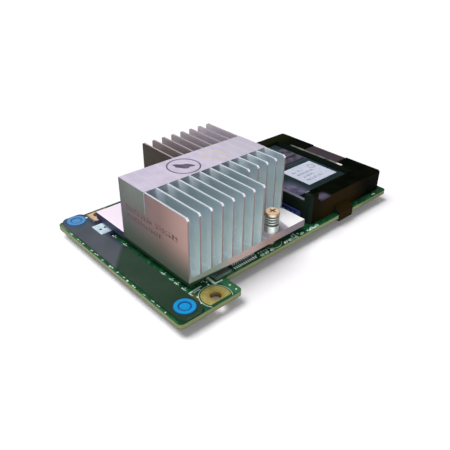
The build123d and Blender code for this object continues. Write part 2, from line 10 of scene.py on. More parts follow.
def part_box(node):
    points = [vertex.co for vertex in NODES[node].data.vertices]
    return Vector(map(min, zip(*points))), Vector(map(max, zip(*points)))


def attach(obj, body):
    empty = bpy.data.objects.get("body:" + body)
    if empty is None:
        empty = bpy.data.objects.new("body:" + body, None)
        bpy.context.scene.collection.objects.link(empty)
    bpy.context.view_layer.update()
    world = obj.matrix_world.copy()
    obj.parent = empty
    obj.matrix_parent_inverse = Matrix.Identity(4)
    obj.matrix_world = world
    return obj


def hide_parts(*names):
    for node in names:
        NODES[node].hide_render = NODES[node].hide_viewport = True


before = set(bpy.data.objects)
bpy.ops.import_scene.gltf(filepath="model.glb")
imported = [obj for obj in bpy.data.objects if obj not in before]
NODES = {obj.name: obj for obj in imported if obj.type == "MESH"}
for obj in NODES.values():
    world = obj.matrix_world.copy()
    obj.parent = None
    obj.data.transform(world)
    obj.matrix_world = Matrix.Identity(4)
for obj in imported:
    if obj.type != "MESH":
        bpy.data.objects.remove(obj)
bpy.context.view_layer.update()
MM = 0.001


def box_of(node):
    """The low and high corners of a CAD node, in millimetres."""
    low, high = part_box(node)
    return low / MM, high / MM


def centre_of(node):
    """The middle of a CAD node's box, in millimetres."""
    low, high = box_of(node)
    return (low + high) / 2


# Camera, fitted to the photograph: place, right and up directions, and focal length
CAMERA_PLACE = Vector((-112.04, -112.43, 96.16)) * MM
CAMERA_RIGHT = Vector((0.73765, -0.67504, 0.01409))
CAMERA_UP = Vector((0.34598, 0.39582, 0.85067))
CAMERA_LENS = 40.97
CAMERA_SENSOR = 36

# Boxes that the finishes and details are measured from, in millimetres
BOARD_LOW, BOARD_HIGH = box_of("circuit_board")
SINK_LOW, SINK_HIGH = box_of("heat_sink")
COVER_LOW, COVER_HIGH = box_of("connector_cover")
LABEL_LOW, LABEL_HIGH = box_of("heat_sink_label")
PACK_HIGH = box_of("battery_pack")[1]
BASE_TOP = box_of("spring_seats")[0].z
HEAD_LOW = box_of("compression_springs")[1].z

MEMORY_CHIPS = sorted(name for name in NODES if name.startswith("memory_chip"))
INDUCTORS = ("power_inductor_1", "power_inductor_2")

# The heat sink's fins, of which the first ones reach its near side
FIN_COUNT = 13
WHOLE_FINS = 8
FIN_THICKNESS = 0.6
FIN_PITCH = (SINK_HIGH.x - SINK_LOW.x - FIN_THICKNESS) / (FIN_COUNT - 1)

# Where its cut corners begin along y, and its screws, measured from its near left corner
NEAR_CUT = 10.3
FAR_CUT = 32.3
SCREW_PLACES = ((35.9, 2.8), (13.1, 46.2))

# Along the heat sink's left side, where the small parts stand in its shadow
SHADED_ROW = (15, 31)

# The mounting holes' pads: how far their centres are from the board's edge, and the rings' radii
PAD_INSET = 3.2
PAD_RING = (4.72, 4.87)

# Leads along one side of each chip, and their pitch
LEADS = (("bus_driver_chip", 12, 0.8), ("regulator_1", 4, 1.27), ("regulator_2", 4, 1.27))

# How far prints, tracks and pads stand out of a surface, and how far they are sunk into it
PRINT_RISE = 0.03
TRACK_RISE = 0.02
PAD_RISE = 0.05
SUNK = -0.05

# Width of the board's tracks, and radius of the lands at their ends
TRACK_WIDTH = 0.16
LAND_RADIUS = 0.24

# Printed marks: dots across and up, the room of one in dots, and a dot's share of its place
MARK_COLUMNS = 3
MARK_ROWS = 5
MARK_ROOM = 4.4
DOT_SHARE = 0.82

# Sizes of the coil springs' wire and coils
WIRE_RADIUS = 0.3
COIL_RADIUS = 2.05
COIL_PITCH = 0.9

UP = (0, 0, 1)
DOWN = (0, 0, -1)
LEFT = (-1, 0, 0)


def on_sink(x, y):
    """A place measured from the heat sink's near left corner, in the card's own millimetres."""
    return SINK_LOW.x + x, SINK_LOW.y + y


def around(x, y, radius, turn):
    """A place on a circle."""
    return x + radius * math.cos(turn), y + radius * math.sin(turn)


def srgb(red, green, blue):
    """A colour given as 0 to 255 display values, as linear RGBA."""
    linear = []
    for value in (red, green, blue):
        share = value / 255
        linear.append(share / 12.92 if share <= 0.04045 else ((share + 0.055) / 1.055) ** 2.4)
    return (*linear, 1)


class Graph:
    """Short calls for the nodes of one material or world."""

    def __init__(self, owner):
        owner.use_nodes = True
        self.tree = owner.node_tree
        self.tree.nodes.clear()

    def feed(self, socket, value):
        """Give a socket a link, a number, or a colour in 0 to 255 display values."""
        if isinstance(value, bpy.types.NodeSocket):
            self.tree.links.new(value, socket)
        else:
            socket.default_value = srgb(*value) if isinstance(value, tuple) else value

    def node(self, kind, *values, **settings):
        """A new shader node with its first inputs filled in."""
        made = self.tree.nodes.new("ShaderNode" + kind)
        for name, value in settings.items():
            setattr(made, name, value)
        for socket, value in zip(made.inputs, values):
            if value is not None:
                self.feed(socket, value)
        return made

    def math(self, operation, a, b=0):
        """The result of one sum on two values."""
        return self.node("Math", a, b, operation=operation).outputs[0]

    def ramp(self, value, low, high, bottom=0, top=1):
        """From bottom at low to top at high, and level beyond them."""
        return self.node("MapRange", value, low, high, bottom, top).outputs["Result"]

    def seen_directly(self):
        """1 for rays straight from the camera, 0 for the rest."""
        return self.node("LightPath").outputs["Is Camera Ray"]


class Look(Graph):
    """The finish of one material. Its x, y and z are in millimetres.

    Across and along are x and y measured from the heat sink's near left corner.
    """

    def __init__(self, name, colour, roughness=0.5, metallic=0, **sockets):
        self.material = bpy.data.materials.new(name)
        super().__init__(self.material)
        self.shader = self.node("BsdfPrincipled")
        self.node("OutputMaterial", self.shader.outputs["BSDF"])
        self.set("Base Color", colour)
        self.set("Roughness", roughness)
        self.set("Metallic", metallic)
        for socket, value in sockets.items():
            self.set(socket.replace("_", " "), value)
        coordinates = self.node("TexCoord").outputs
        self.place = coordinates["Object"]
        in_mm = self.node("VectorMath", self.place, None, None, 1 / MM, operation="SCALE")
        self.x, self.y, self.z = self.axes(in_mm.outputs[0])
        self.across = self.math("SUBTRACT", self.x, SINK_LOW.x)
        self.along = self.math("SUBTRACT", self.y, SINK_LOW.y)
        self.face_x, self.face_y, self.face_z = self.axes(coordinates["Normal"])

    def axes(self, vector):
        """The three parts of a vector."""
        return self.node("SeparateXYZ", vector).outputs

    def set(self, socket, value):
        """Set or link one of the shader's sockets."""
        self.feed(self.shader.inputs[socket], value)

    def over(self, value, limit, blur=0):
        """1 above a limit, with an edge as wide as the blur."""
        return self.ramp(value, limit - blur / 2 - 1e-4, limit + blur / 2 + 1e-4)

    def under(self, value, limit, blur=0):
        """1 below a limit, with an edge as wide as the blur."""
        return self.math("SUBTRACT", 1, self.over(value, limit, blur))

    def both(self, *masks):
        """The product of masks, or of masks and a strength."""
        total = masks[0]
        for mask in masks[1:]:
            total = self.math("MULTIPLY", total, mask)
        return total

    def within(self, value, low, high, blur=0):
        """1 between two limits."""
        return self.both(self.over(value, low, blur), self.under(value, high, blur))

    def patch(self, x_low, x_high, y_low, y_high, blur):
        """1 inside a soft rectangle in plan, measured from the heat sink's near left corner."""
        inside = self.within(self.across, x_low, x_high, blur)
        return self.both(inside, self.within(self.along, y_low, y_high, blur))

    def upward(self):
        """1 on faces that look up."""
        return self.over(self.face_z, 0.5)

    def flat(self):
        """1 on faces that look up or down."""
        return self.over(self.math("ABSOLUTE", self.face_z), 0.5)

    def away(self, centre):
        """Distance in plan from a point."""
        legs = [self.math("SUBTRACT", value, at) for value, at in zip((self.x, self.y), centre)]
        across, along = (self.math("MULTIPLY", leg, leg) for leg in legs)
        return self.math("SQRT", self.math("ADD", across, along))

    def lean(self, value, other, slope):
        """A value with a share of another added."""
        return self.math("ADD", value, self.math("MULTIPLY", other, slope))

    def waves(self, value, rate):
        """A sine that turns by the rate for each unit of the value."""
        return self.math("SINE", self.math("MULTIPLY", value, rate))

    def glint(self, low, high):
        """1 on upright round sides that face the near left, 0 on those that turn away."""
        share = self.lean(self.math("MULTIPLY", self.face_x, -0.74), self.face_y, -0.67)
        return self.ramp(share, low, high)

    def mix(self, share, first, second):
        """The first colour where the share is 0 and the second where it is 1."""
        values = (share, None, None, None, None, None, first, second)
        return self.node("Mix", *values, data_type="RGBA").outputs[2]

    def layers(self, colour, *coats):
        """A colour with each coat's own laid over it in turn, where its mask is 1."""
        for mask, coat in coats:
            colour = self.mix(mask, colour, coat)
        return colour

    def stretched(self, scale):
        """The place, scaled along each axis."""
        made = self.node("Mapping", self.place)
        made.inputs["Scale"].default_value = scale
        return made.outputs["Vector"]

    def noise(self, scale, detail=3, vector=None):
        """Noise between 0 and 1, with its scale per metre."""
        vector = vector or self.place
        return self.node("TexNoise", vector, None, scale, detail).outputs["Fac"]

    def wander(self, first, second, scale, detail=3):
        """A colour that drifts between two close values."""
        return self.mix(self.ramp(self.noise(scale, detail), 0.38, 0.62), first, second)

    def bump(self, height, strength, distance=0.00005):
        """Small relief from a height."""
        made = self.node("Bump", strength, distance, None, height)
        self.set("Normal", made.outputs["Normal"])

    def rough(self, low, high, scale):
        """Roughness that drifts between two values."""
        self.set("Roughness", self.ramp(self.noise(scale, 4), 0.35, 0.65, low, high))

    def coat(self, colour, roughness, drift, grain, depth, detail=3):
        """Set the colour, the two ends of a roughness that drifts, and a fine grain."""
        self.set("Base Color", colour)
        self.rough(*roughness, drift)
        self.bump(self.noise(grain, detail), depth)
        return self


def plain_look(name, colour, other, roughness, metallic=0, grain=1800, depth=0.12):
    """A finish whose colour drifts between two close values, with a fine grain."""
    look = Look(name, colour, roughness, metallic)
    ends = (roughness * 0.88, min(1, roughness * 1.12))
    return look.coat(look.wander(colour, other, grain / 3), ends, grain / 2, grain, depth)


def dress(look, *names):
    """Give CAD nodes a material in every slot."""
    for name in names:
        mesh = NODES[name].data
        mesh.materials.clear()
        mesh.materials.append(look.material)
        for face in mesh.polygons:
            face.material_index = 0


def loose_boxes(node):
    """The box of each separate solid in a CAD node, in millimetres."""
    shell = bmesh.new()
    shell.from_mesh(NODES[node].data)
    bmesh.ops.remove_doubles(shell, verts=shell.verts, dist=1e-7)
    boxes = []
    waiting = set(shell.verts)
    while waiting:
        group = [waiting.pop()]
        for vertex in group:
            for edge in vertex.link_edges:
                other = edge.other_vert(vertex)
                if other in waiting:
                    waiting.remove(other)
                    group.append(other)
        places = [NODES[node].matrix_world @ vertex.co / MM for vertex in group]
        low = Vector([min(place[axis] for place in places) for axis in range(3)])
        high = Vector([max(place[axis] for place in places) for axis in range(3)])
        boxes.append((low, high))
    shell.free()
    return sorted(boxes, key=lambda box: (round(box[0].x, 3), round(box[0].y, 3)))


def add_object(name, data):
    """A new object in the scene."""
    made = bpy.data.objects.new(name, data)
    bpy.context.scene.collection.objects.link(made)
    return made


def place_mesh(name, points, faces, look, smooth=False):
    """Make a closed mesh object that rides on the card."""
    mesh = bpy.data.meshes.new(name)
    mesh.from_pydata(points, [], faces)
    shell = bmesh.new()
    shell.from_mesh(mesh)
    bmesh.ops.recalc_face_normals(shell, faces=shell.faces)
    shell.to_mesh(mesh)
    shell.free()
    mesh.materials.append(look.material)
    for face in mesh.polygons:
        face.use_smooth = smooth
    piece = add_object(name, mesh)
    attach(piece, "root")
    return piece


class Stencil:
    """Thin pieces of one material, drawn in millimetres on a plane and raised from it."""

    drawn = []  # in the order that build_details makes them in

    def __init__(self, name, look, slot, origin, across=(1, 0, 0), along=(0, 1, 0), out=UP):
        Stencil.drawn.append(self)
        self.name, self.look, self.slot = name, look, slot
        self.origin = Vector(origin)
        self.across, self.along, self.out = Vector(across), Vector(along), Vector(out)
        self.points, self.faces = [], []

    def put(self, x, y, height):
        """Add a point and return its number."""
        place = self.origin + self.across * x + self.along * y + self.out * height
        self.points.append(tuple(place * MM))
        return len(self.points) - 1

    def polygon(self, outline, low, high):
        """A convex outline, raised from low to high."""
        bottom = [self.put(x, y, low) for x, y in outline]
        top = [self.put(x, y, high) for x, y in outline]
        self.faces.append(top)
        self.faces.append(bottom[::-1])
        for index in range(len(outline)):
            after = (index + 1) % len(outline)
            self.faces.append([bottom[index], bottom[after], top[after], top[index]])

    def band(self, lefts, rights, low, high, closed=False):
        """A band between two lines of points."""
        rows = []
        for left, right in zip(lefts, rights):
            corners = ((left, low), (right, low), (right, high), (left, high))
            rows.append([self.put(*place, height) for place, height in corners])
        count = len(rows)
        for index in range(count if closed else count - 1):
            here, after = rows[index], rows[(index + 1) % count]
            for side in range(4):
                nearby = (side + 1) % 4
                self.faces.append([here[side], here[nearby], after[nearby], after[side]])
        if not closed:
            self.faces.append(rows[0][::-1])
            self.faces.append(rows[-1])

    def box(self, x, y, length, width, low=SUNK, high=PRINT_RISE):
        """A rectangle given by its centre and sides."""
        a, b = length / 2, width / 2
        self.polygon([(x - a, y - b), (x + a, y - b), (x + a, y + b), (x - a, y + b)], low, high)

    def disc(self, x, y, radius, high=PRINT_RISE, steps=16):
        """A round spot."""
        turns = [2 * math.pi * step / steps for step in range(steps)]
        self.polygon([around(x, y, radius, turn) for turn in turns], SUNK, high)

    def ring(self, x, y, inner, outer, start=0, end=360, steps=64):
        """A ring, or an arc of one between two angles in degrees."""
        closed = end - start >= 360
        count = steps if closed else steps + 1
        turns = [math.radians(start + (end - start) * step / steps) for step in range(count)]
        lefts = [around(x, y, inner, turn) for turn in turns]
        rights = [around(x, y, outer, turn) for turn in turns]
        self.band(lefts, rights, SUNK, PRINT_RISE, closed)

    def line(self, path, width, closed=False, low=SUNK, high=PRINT_RISE):
        """A band of even width along a path, with mitred corners."""
        lefts, rights = [], []
        count = len(path)
        for index, point in enumerate(path):
            here = Vector(point)
            before = Vector(path[index - 1]) if index or closed else None
            after = Vector(path[(index + 1) % count]) if index < count - 1 or closed else None
            entry = (here - before).normalized() if before else (after - here).normalized()
            leave = (after - here).normalized() if after else entry
            side = Vector((-(entry + leave).y, (entry + leave).x)).normalized()
            reach = width / 2 / max(0.3, side.dot(Vector((-leave.y, leave.x))))
            lefts.append(tuple(here + side * reach))
            rights.append(tuple(here - side * reach))
        self.band(lefts, rights, low, high, closed)

    def frame(self, low_corner, high_corner, margin, width):
        """A line round a rectangle, at a margin from it."""
        x0, y0 = low_corner[0] - margin, low_corner[1] - margin
        x1, y1 = high_corner[0] + margin, high_corner[1] + margin
        self.line([(x0, y0), (x1, y0), (x1, y1), (x0, y1)], width, closed=True)

    def dot_print(self, x, y, marks, height):
        """A row of unreadable marks, as a dot printer leaves them."""
        dot = height / MARK_ROWS
        for mark in range(marks):
            if random.random() < 0.08:
                continue
            for column in range(MARK_COLUMNS):
                for row in range(MARK_ROWS):
                    if random.random() < 0.58:
                        left = x + (mark * MARK_ROOM + column) * dot
                        self.box(left, y + row * dot, dot * DOT_SHARE, dot * DOT_SHARE)

    def build(self):
        """Make the object."""
        place_mesh(self.name, self.points, self.faces, self.look)


def board_stencil(name, look, slot, out=UP):
    """A stencil on the board's upper face or, with out down, on its underside."""
    level = BOARD_HIGH.z if out == UP else BOARD_LOW.z
    return Stencil(name, look, slot, (0, 0, level), out=out)


# Finishes

BOARD_GREEN = (26, 78, 46)
BOARD_DARK = (14, 52, 32)


def board_look():
    """Solder mask over copper on the faces, bare laminate with its layers on the edges."""
    look = Look("solder_mask", BOARD_GREEN, 0.34, Specular_IOR_Level=0.2)
    fine = look.ramp(look.noise(2600), 0.4, 0.62)
    height = look.ramp(look.z, BOARD_LOW.z, BOARD_HIGH.z)
    edge = look.layers(
        (122, 116, 72),
        (look.over(height, 0.42, 0.35), (112, 128, 86)),
        (look.under(height, 0.14, 0.1), (94, 68, 46)),
        # Painted shade: the board's edge is dark olive under the battery tray
        (look.over(look.across, 80, 4), (82, 92, 44)),
        (look.both(look.over(look.waves(height, 38), 0.6), 0.25), (86, 124, 64)),
    )
    far_strip = look.both(look.under(look.across, -9.2, 0.4), look.over(look.along, 46, 6))
    mask = look.layers(
        look.wander(BOARD_DARK, BOARD_GREEN, 260, 2),
        (look.both(fine, 0.3), (40, 112, 70)),
        (look.both(far_strip, 0.6), (92, 128, 96)),
    )
    for place, reach, colour in (
        ((0.2, -2.6), 1.5, (92, 86, 52)),
        ((-0.3, -5.2), 1.1, (92, 86, 52)),
        ((-9, 54.6), 1.9, (116, 122, 98)),
    ):
        bare = look.under(look.away(on_sink(*place)), reach, 0.9)
        mask = look.mix(look.both(bare, 0.8), mask, colour)
    tab_end = look.patch(9.6, 12.4, -8.9, -1.4, 1)
    mask = look.mix(look.both(tab_end, 0.7), mask, (62, 122, 84))
    return look.coat(look.mix(look.flat(), edge, mask), (0.3, 0.44), 900, 4200, 0.1, 2)


def gold_look():
    """Gold flash on the pads, with wear round the hole and painted shade darkening its barrel
    towards the bottom.
    """
    look = Look("gold_plate", (180, 168, 92), 0.42, 0.2)
    plate = look.wander((176, 164, 96), (160, 146, 78), 900)
    for name in ("plated_hole_near", "plated_hole_far"):
        middle = centre_of(name)
        pad_y = BOARD_HIGH.y - PAD_INSET if middle.y > 0 else BOARD_LOW.y + PAD_INSET
        reach = look.away((middle.x, pad_y))
        plate = look.mix(look.under(reach, 2.5, 0.6), plate, (158, 138, 72))
    # Painted shade: the barrel darkens towards the board's underside
    down = look.ramp(look.z, BOARD_HIGH.z, BOARD_LOW.z)
    far = look.over(look.y, 0)
    barrel = look.layers((150, 126, 62), (down, (84, 62, 20)), (far, (190, 150, 116)))
    by_sink = look.over(look.across, 0.2, 0.8)
    plate = look.mix(far, plate, look.mix(by_sink, (70, 84, 60), (226, 190, 158)))
    return look.coat(look.mix(look.flat(), barrel, plate), (0.36, 0.5), 1500, 5000, 0.08)


def cover_look():
    """Dark glossy film with painted reflections: greyer where it mirrors the room, greener where it
    mirrors the board, and navy painted shade and reflection under the heat sink's base.
    """
    look = Look("slate_film", (64, 72, 74), 0.34, Specular_IOR_Level=0.15)
    slope = 1.1
    beyond = look.over(look.lean(look.along, look.across, -slope), 27.9 + 4.7 * slope, 1.6)
    grey = look.wander((84, 88, 96), (76, 82, 90), 120)
    green = look.wander((44, 64, 51), (50, 68, 56), 160)
    green = look.mix(look.under(look.y, -20, 10), green, (38, 59, 44))
    inner = look.over(look.x, COVER_LOW.x + 7.4, 2)
    far = look.over(look.y, COVER_HIGH.y - 26, 8)
    by_disc = look.under(look.away(centre_of("press_point_far")), 4.6, 2.6)
    colour = look.layers(
        look.mix(beyond, green, grey),
        # Navy painted shade and reflection on the cover's far part beside the heat sink's base
        (look.both(inner, far), (38, 44, 66)),
        (look.both(by_disc, 0.7), (60, 80, 108)),
    )
    return look.coat(colour, (0.3, 0.4), 700, 2200, 0.06)


def sink_look():
    """Drawn aluminium, its colours painted with light: each side is tinted by painted reflections
    of what stands in front of it, with painted shade and highlights as set out below.
    """
    look = Look("drawn_aluminium", (200, 204, 206), 0.36, 0.1, Specular_IOR_Level=0.2)
    height = look.ramp(look.z, BASE_TOP, SINK_HIGH.z)
    across, along = look.across, look.along
    left, near = look.under(look.face_x, -0.6), look.under(look.face_y, -0.6)
    in_base = look.under(look.z, BASE_TOP + 0.02)
    beyond = look.over(along, FAR_CUT, 0.4)

    lines = look.over(look.waves(look.z, 2 * math.pi / 0.55), 0.3, 0.6)
    # Painted light on the fins' inner faces: paler low down and darker towards the top, painted
    # lighter where the film above shades them, and past the far cut painted dark brown to lavender
    # as shade and reflection.
    brown = look.mix(look.ramp(across, 20.4, 24.2), (38, 29, 8), (124, 112, 112))
    brown = look.mix(look.ramp(across, 24.2, 46), brown, (180, 172, 186))
    cool = look.layers(
        (222, 238, 240),
        (look.ramp(height, 0.15, 0.5), (190, 209, 208)),
        (look.ramp(height, 0.5, 0.95), (146, 164, 174)),
        (look.both(lines, look.over(height, 0.55, 0.2), 0.35), (116, 132, 140)),
        (look.ramp(along, 14, 19.2), (216, 230, 240)),
        (look.both(beyond, look.over(across, 14)), brown),
    )
    # Painted reflections on the first fin's outer face: salmon near the front, duller further
    # along, and green low down where it mirrors the board.
    warm = look.layers(
        (170, 138, 129),
        (look.ramp(along, 1, 12), (126, 100, 96)),
        (look.ramp(along, 12, 29), (92, 88, 92)),
        (look.ramp(height, 0.5, -0.02), (80, 92, 80)),
    )
    # Painted shade: a dark green strip along the sides' foot. The base's side past the far cut is a
    # navy painted reflection.
    foot = look.both(look.under(look.z, SINK_LOW.z + 1.1, 0.3), look.under(along, FAR_CUT))
    side = look.layers(
        cool,
        (look.under(across, 0.3), warm),
        (look.both(in_base, beyond), (52, 56, 82)),
        (foot, (26, 50, 36)),
    )

    # Painted reflections on the near faces, grey to salmon to lilac across, with a dark green
    # painted shade along the base's foot; the fins' near edges are painted darker as shade.
    tilted = look.lean(look.z, across, 0.06)
    face = look.layers(
        (142, 152, 139),
        (look.over(across, 14, 5), (180, 160, 152)),
        (look.over(across, 28, 6), (152, 127, 120)),
        (look.over(across, 38, 5), (124, 113, 122)),
        (look.under(tilted, SINK_LOW.z + 1.1, 0.3), (26, 58, 40)),
    )
    ends = look.mix(in_base, (136, 122, 124), face)

    colour = look.mix(near, look.mix(left, (246, 249, 250), side), ends)
    # The base's top is painted brighter where the fins shade it, and over its near right corner it
    # carries a painted shadow with a painted lit patch beyond; the fins' top edges turn pinker past
    # the far cut.
    floor = look.mix(look.over(along, 32), (216, 230, 232), (255, 240, 255))
    corner = look.both(look.over(across, 31.4), look.under(along, NEAR_CUT - 0.1))
    past_shadow = look.over(look.lean(across, along, -0.2), 41.2, 0.6)
    lit = look.mix(past_shadow, (186, 174, 188), (255, 253, 255))
    floor = look.mix(corner, floor, lit)
    edges = look.mix(look.over(along, 31.8, 0.2), (208, 216, 222), (176, 160, 160))
    colour = look.mix(look.upward(), colour, look.mix(in_base, edges, floor))
    look.set("Base Color", colour)
    look.rough(0.32, 0.42, 400)
    look.bump(look.noise(2400, 2, look.stretched((1, 0.03, 1))), 0.06, 0.00002)
    return look


def label_look():
    """Pale lavender film, faintly ribbed by the fins below, with painted highlights along the ribs;
    where it is folded down it is painted darker and greener as shade and reflection.
    """
    look = Look("lavender_film", (206, 196, 216), 0.42, Specular_IOR_Level=0.3)
    film = look.wander((206, 197, 216), (196, 188, 207), 300)
    film = look.mix(look.over(look.across, 38, 14), film, (192, 186, 200))
    ribs = look.waves(look.across, 2 * math.pi / FIN_PITCH)
    # Painted highlights: paler stripes along the ribs
    film = look.mix(look.both(look.over(ribs, 0.7, 0.5), 0.18), film, (226, 218, 232))
    # Painted shade and reflection on the folded-down flap: dark grey-green, darkest at its far end
    flap = look.mix(look.ramp(look.z, LABEL_LOW.z, LABEL_HIGH.z), (88, 92, 83), (97, 107, 102))
    flap = look.mix(look.over(look.y, LABEL_HIGH.y - 3, 5), flap, (80, 86, 80))
    folded = look.under(look.face_x, -0.6)
    look.set("Base Color", look.mix(folded, film, flap))
    look.rough(0.36, 0.46, 700)
    look.bump(ribs, 0.1, 0.00004)
    return look


def press_look():
    """Bright blue plastic with a dark ring pressed into it."""
    look = Look("blue_plastic", (24, 140, 216), 0.45, Specular_IOR_Level=0.3)
    blue = look.wander((4, 138, 200), (10, 146, 206), 500)
    blue = look.mix(look.over(look.y, 0), blue, (84, 142, 192))
    for name, ring_colour, rim_colour in (
        ("press_point_near", (14, 80, 146), (14, 96, 150)),
        ("press_point_far", (48, 106, 168), (60, 104, 158)),
    ):
        reach = look.away(centre_of(name))
        rim = look.both(look.over(reach, 3, 0.2), look.under(reach, 4))
        blue = look.layers(
            blue, (look.within(reach, 1.45, 2, 0.12), ring_colour), (rim, rim_colour)
        )
    return look.coat(blue, (0.4, 0.5), 900, 3000, 0.06)


def leaded_look():
    """Black mould compound with tinned leads: the leads are what lies outside the body's sides."""
    look = Look("chip_with_leads", (34, 36, 38), 0.5)
    leads = []
    # The bus driver comes last, because its place also sets the tin's colours
    for name in ("regulator_1", "bus_driver_chip"):
        low, high = box_of(name)
        half = (high.y - low.y) / 2
        away = look.math("ABSOLUTE", look.math("SUBTRACT", look.y, centre_of(name).y))
        leads.append(look.within(away, half - 1.48, half + 0.1))
    body = look.wander((30, 32, 34), (44, 46, 48), 1500)
    tin = look.layers(
        (206, 236, 222),
        (look.ramp(look.x, low.x, high.x), (254, 255, 254)),
        # Painted shade across the middle of each lead, between its bright shoulder and foot
        (look.within(away, half - 0.8, half - 0.45, 0.1), (30, 48, 40)),
    )
    look.set("Base Color", look.mix(look.math("MAXIMUM", *leads), body, tin))
    look.bump(look.noise(4000), 0.12)
    return look


def part_row_look(name, light, dark):
    """Small parts beside the heat sink, in its shadow along the middle of their row."""
    look = Look(name, light, 0.4)
    shaded = look.both(look.within(look.along, *SHADED_ROW, 3), look.under(look.across, 0))
    pale = look.mix(look.ramp(look.noise(500), 0.42, 0.58), light, (126, 178, 150))
    return look.coat(look.mix(shaded, pale, dark), (0.34, 0.46), 900, 3000, 0.06)


def screw_look():
    """Coppery heads on bright shanks, with a painted highlight where the head's round side faces
    the near left, and painted shade where it turns away and in the head's recess.
    """
    look = Look("screw_plating", (210, 178, 146), 0.3, 0.2)
    top = look.wander((240, 214, 180), (226, 192, 152), 900)
    recess = look.under(look.z, box_of("spring_screws")[1].z - 0.25)
    # Painted shade in the head's recess
    top = look.mix(look.both(recess, look.upward()), top, (150, 104, 76))
    # Painted highlight on the head's round side where it faces the near left, painted shade where
    # it turns away
    round_side = look.mix(look.glint(0.8, 0.99), (150, 108, 78), (250, 240, 216))
    head = look.mix(look.upward(), round_side, top)
    colour = look.mix(look.over(look.z, HEAD_LOW), (170, 178, 168), head)
    return look.coat(colour, (0.26, 0.38), 900, 2600, 0.08)


def spring_look():
    """Bright drawn wire and turned seats: a painted highlight where the round side faces the near
    left, painted shade where it turns away.
    """
    look = Look("bright_wire", (190, 200, 190), 0.28, 0.15)
    steel = look.mix(look.ramp(look.noise(700), 0.3, 0.7), (140, 154, 144), (152, 164, 152))
    # Painted highlight where the round side faces the near left
    steel = look.mix(look.glint(0.82, 0.985), steel, (250, 255, 252))
    return look.coat(steel, (0.24, 0.34), 900, 3000, 0.02)


def tray_look():
    """Black moulded plastic, with painted highlights along the ledge's lip and the left wall's top,
    and a painted lavender sheen on the near wall's top.
    """
    look = Look("tray_plastic", (12, 14, 12), 0.55, Specular_IOR_Level=0.01)
    body = look.wander((3, 4, 2), (9, 12, 5), 220)
    body = look.mix(look.over(look.y, BOARD_HIGH.y - 12, 8), body, (24, 30, 13))
    near = look.under(look.face_y, -0.5)
    top = look.both(look.upward(), look.over(look.z, PACK_HIGH.z + 0.2))
    recess = look.patch(87.6, 95, 16.8, 33.7, 0.1)
    # Painted lavender sheen on the near wall's top, and painted highlights on the left wall's top
    # edge and along the ledge's lip, brightest at the lip's near end.
    sheen_patch = look.patch(58.6, 63.6, 1.2, 4.4, 2)
    rim = look.patch(54.2, 55.5, 4, 19, 0.3)
    lip = look.both(look.over(look.z, PACK_HIGH.z + 1.3), look.within(look.across, 85.8, 87))
    shine = look.mix(look.ramp(look.noise(160), 0.4, 0.6), (70, 76, 72), (140, 138, 134))
    shine = look.mix(look.under(look.along, 15.6, 1.2), shine, (238, 228, 216))
    body = look.layers(
        body,
        (look.both(near, look.within(look.across, 57, 80, 10)), (35, 26, 9)),
        (look.under(look.face_x, -0.5), (23, 33, 27)),
        (look.both(top, recess), (66, 58, 64)),
        (look.both(top, sheen_patch, 0.8), (96, 90, 112)),
        (look.both(top, rim), (128, 124, 140)),
        (lip, shine),
    )
    return look.coat(body, (0.5, 0.62), 800, 2600, 0.14, 4)


def pack_look():
    """Dark teal shrink film, slightly wavy, with a painted lavender sheen on its far part and left
    shoulder, and two seams.
    """
    look = Look("pack_film", (24, 50, 58), 0.3, Specular_IOR_Level=0.12)
    waves = look.noise(110, 2, look.stretched((1, 0.5, 1)))
    film = look.mix(look.ramp(waves, 0.4, 0.6), (20, 38, 40), (32, 54, 60))
    mottle = look.ramp(look.noise(420), 0.3, 0.7)
    # Painted lavender sheen over the pack's far part
    sheen = look.mix(mottle, (50, 50, 62), (96, 92, 108))
    film = look.mix(look.patch(55, 84, 28.6, 41, 1.2), film, sheen)
    for seam_y in (29.2, 33.6):
        seam = look.patch(50, 83, seam_y - 0.5, seam_y + 0.5, 0.4)
        film = look.mix(seam, film, (34, 32, 44))
    # Painted lavender reflection on the pack's left shoulder
    shoulder = look.mix(mottle, (64, 62, 92), (108, 106, 132))
    film = look.mix(look.patch(54, 62.5, 4, 19, 4), film, shoulder)
    look.set("Base Color", film)
    look.rough(0.24, 0.34, 300)
    look.bump(waves, 0.25, 0.0005)
    return look


def white_film_look():
    """White film on the cover's wing, with painted shade darkening it towards the heat sink."""
    look = Look("white_film", (216, 232, 242), 0.45)
    low, high = box_of("cover_label")
    slant = look.math("SUBTRACT", look.x, look.y)
    # Painted shade: the film darkens towards the heat sink
    sink_shade = look.ramp(slant, low.x - low.y - 0.4, high.x - low.y)
    film = look.wander((206, 224, 234), (190, 212, 224), 600)
    return look.coat(look.mix(sink_shade, film, (104, 124, 142)), (0.4, 0.5), 900, 1800, 0.12)


